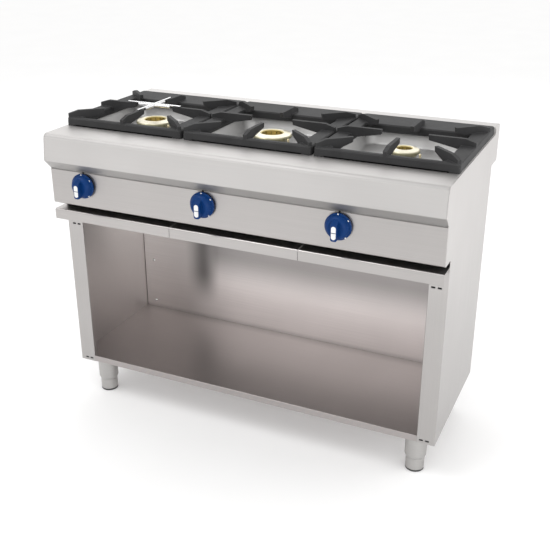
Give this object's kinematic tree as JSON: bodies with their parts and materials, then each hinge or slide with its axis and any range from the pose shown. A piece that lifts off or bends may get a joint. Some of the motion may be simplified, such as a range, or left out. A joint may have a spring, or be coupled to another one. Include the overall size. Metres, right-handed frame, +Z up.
{
  "type": "modular commercial gas range",
  "caption": "Open-cabinet gas range with cast pan supports, brass burners in pressed wells, push-and-turn knobs, pull-out drip trays and adjustable feet.",
  "frame": {"origin": "floor level under the middle of the overall box", "axes": "+X to the right seen from the front, +Y to the back, +Z up"},
  "size_m": [1.1, 0.563, 0.8763],
  "materials": {
    "brushed_sheet": "fine brushed stainless sheet",
    "well_steel": "bright pressed stainless sheet",
    "leg_steel": "satin turned steel",
    "cast_iron": "matt black enamelled cast iron",
    "crown_brass": "turned brass",
    "burner_cast": "grey cast alloy",
    "tap_brass": "machined brass",
    "pipe_steel": "zinc-plated steel pipe",
    "tube_alu": "drawn aluminium tube",
    "knob_blue": "satin blue moulded plastic",
    "insert_white": "white moulded plastic",
    "spring_steel": "spring wire",
    "chromed_bar": "chromed round bar"
  },
  "bodies": {
    "range": {"worktop": "brushed_sheet", "left_well": "well_steel", "middle_well": "well_steel", "right_well": "well_steel", "control_panel": "brushed_sheet", "left_side_panel": "brushed_sheet", "right_side_panel": "brushed_sheet", "hob_rear_panel": "brushed_sheet", "back_panel": "brushed_sheet", "cabinet_floor": "brushed_sheet", "tray_rack": "brushed_sheet", "front_left_leg_sleeve": "leg_steel", "front_right_leg_sleeve": "leg_steel", "rear_left_leg_sleeve": "leg_steel", "rear_right_leg_sleeve": "leg_steel", "gas_manifold": "pipe_steel", "inlet_pipe": "pipe_steel", "injectors": "tap_brass", "left_gas_tap": "tap_brass", "left_supply_tube": "tube_alu", "left_burner_body": "burner_cast", "left_thermocouple": "tap_brass", "middle_gas_tap": "tap_brass", "middle_supply_tube": "tube_alu", "middle_burner_body": "burner_cast", "middle_thermocouple": "tap_brass", "right_gas_tap": "tap_brass", "right_supply_tube": "tube_alu", "right_burner_body": "burner_cast", "right_thermocouple": "tap_brass"},
    "front_left_foot": {"front_left_foot": "leg_steel"},
    "front_right_foot": {"front_right_foot": "leg_steel"},
    "rear_left_foot": {"rear_left_foot": "leg_steel"},
    "rear_right_foot": {"rear_right_foot": "leg_steel"},
    "left_plug": {"left_tap_plug": "tap_brass", "left_tap_spring": "spring_steel"},
    "left_knob": {"left_spindle": "pipe_steel", "left_knob": "knob_blue", "left_knob_insert": "insert_white"},
    "left_crown": {"left_burner_crown": "crown_brass"},
    "left_grate": {"left_grate": "cast_iron"},
    "left_tray": {"left_drip_tray": "brushed_sheet"},
    "middle_plug": {"middle_tap_plug": "tap_brass", "middle_tap_spring": "spring_steel"},
    "middle_knob": {"middle_spindle": "pipe_steel", "middle_knob": "knob_blue", "middle_knob_insert": "insert_white"},
    "middle_crown": {"middle_burner_crown": "crown_brass"},
    "middle_grate": {"middle_grate": "cast_iron"},
    "middle_tray": {"middle_drip_tray": "brushed_sheet"},
    "right_plug": {"right_tap_plug": "tap_brass", "right_tap_spring": "spring_steel"},
    "right_knob": {"right_spindle": "pipe_steel", "right_knob": "knob_blue", "right_knob_insert": "insert_white"},
    "right_crown": {"right_burner_crown": "crown_brass"},
    "right_grate": {"right_grate": "cast_iron"},
    "right_tray": {"right_drip_tray": "brushed_sheet"},
    "reducer_cross": {"reducer_cross": "chromed_bar"}
  },
  "joints": [
    {"name": "front_left_foot_screw", "type": "slide", "parent": "range", "child": "front_left_foot", "axis": [0, 0, -1], "range_m": [0, 0.03]},
    {"name": "front_right_foot_screw", "type": "slide", "parent": "range", "child": "front_right_foot", "axis": [0, 0, -1], "range_m": [0, 0.03]},
    {"name": "rear_left_foot_screw", "type": "slide", "parent": "range", "child": "rear_left_foot", "axis": [0, 0, -1], "range_m": [0, 0.03]},
    {"name": "rear_right_foot_screw", "type": "slide", "parent": "range", "child": "rear_right_foot", "axis": [0, 0, -1], "range_m": [0, 0.03]},
    {"name": "left_tap_turn", "type": "hinge", "parent": "range", "child": "left_plug", "pos_m": [-0.44367, -0.2285, 0.695], "axis": [0, -1, 0], "range_deg": [0, 135]},
    {"name": "left_knob_push", "type": "slide", "parent": "left_plug", "child": "left_knob", "axis": [0, 1, 0], "range_m": [0, 0.003], "stiffness_N_per_m": 1500, "springref_m": -0.002, "deforming": ["left_tap_spring"]},
    {"name": "left_crown_lift", "type": "slide", "parent": "range", "child": "left_crown", "axis": [0, 0, 1], "range_m": [0, 0.02]},
    {"name": "left_grate_lift", "type": "slide", "parent": "range", "child": "left_grate", "axis": [0, 0, 1], "range_m": [0, 0.15]},
    {"name": "left_tray_slide", "type": "slide", "parent": "range", "child": "left_tray", "axis": [0, -1, 0], "range_m": [0, 0.36]},
    {"name": "middle_tap_turn", "type": "hinge", "parent": "range", "child": "middle_plug", "pos_m": [-0.077, -0.2285, 0.695], "axis": [0, -1, 0], "range_deg": [0, 135]},
    {"name": "middle_knob_push", "type": "slide", "parent": "middle_plug", "child": "middle_knob", "axis": [0, 1, 0], "range_m": [0, 0.003], "stiffness_N_per_m": 1500, "springref_m": -0.002, "deforming": ["middle_tap_spring"]},
    {"name": "middle_crown_lift", "type": "slide", "parent": "range", "child": "middle_crown", "axis": [0, 0, 1], "range_m": [0, 0.02]},
    {"name": "middle_grate_lift", "type": "slide", "parent": "range", "child": "middle_grate", "axis": [0, 0, 1], "range_m": [0, 0.15]},
    {"name": "middle_tray_slide", "type": "slide", "parent": "range", "child": "middle_tray", "axis": [0, -1, 0], "range_m": [0, 0.36]},
    {"name": "right_tap_turn", "type": "hinge", "parent": "range", "child": "right_plug", "pos_m": [0.28967, -0.2285, 0.695], "axis": [0, -1, 0], "range_deg": [0, 135]},
    {"name": "right_knob_push", "type": "slide", "parent": "right_plug", "child": "right_knob", "axis": [0, 1, 0], "range_m": [0, 0.003], "stiffness_N_per_m": 1500, "springref_m": -0.002, "deforming": ["right_tap_spring"]},
    {"name": "right_crown_lift", "type": "slide", "parent": "range", "child": "right_crown", "axis": [0, 0, 1], "range_m": [0, 0.02]},
    {"name": "right_grate_lift", "type": "slide", "parent": "range", "child": "right_grate", "axis": [0, 0, 1], "range_m": [0, 0.15]},
    {"name": "right_tray_slide", "type": "slide", "parent": "range", "child": "right_tray", "axis": [0, -1, 0], "range_m": [0, 0.36]},
    {"name": "reducer_cross_lift", "type": "slide", "parent": "left_grate", "child": "reducer_cross", "axis": [0, 0, 1], "range_m": [0, 0.1]}
  ]
}
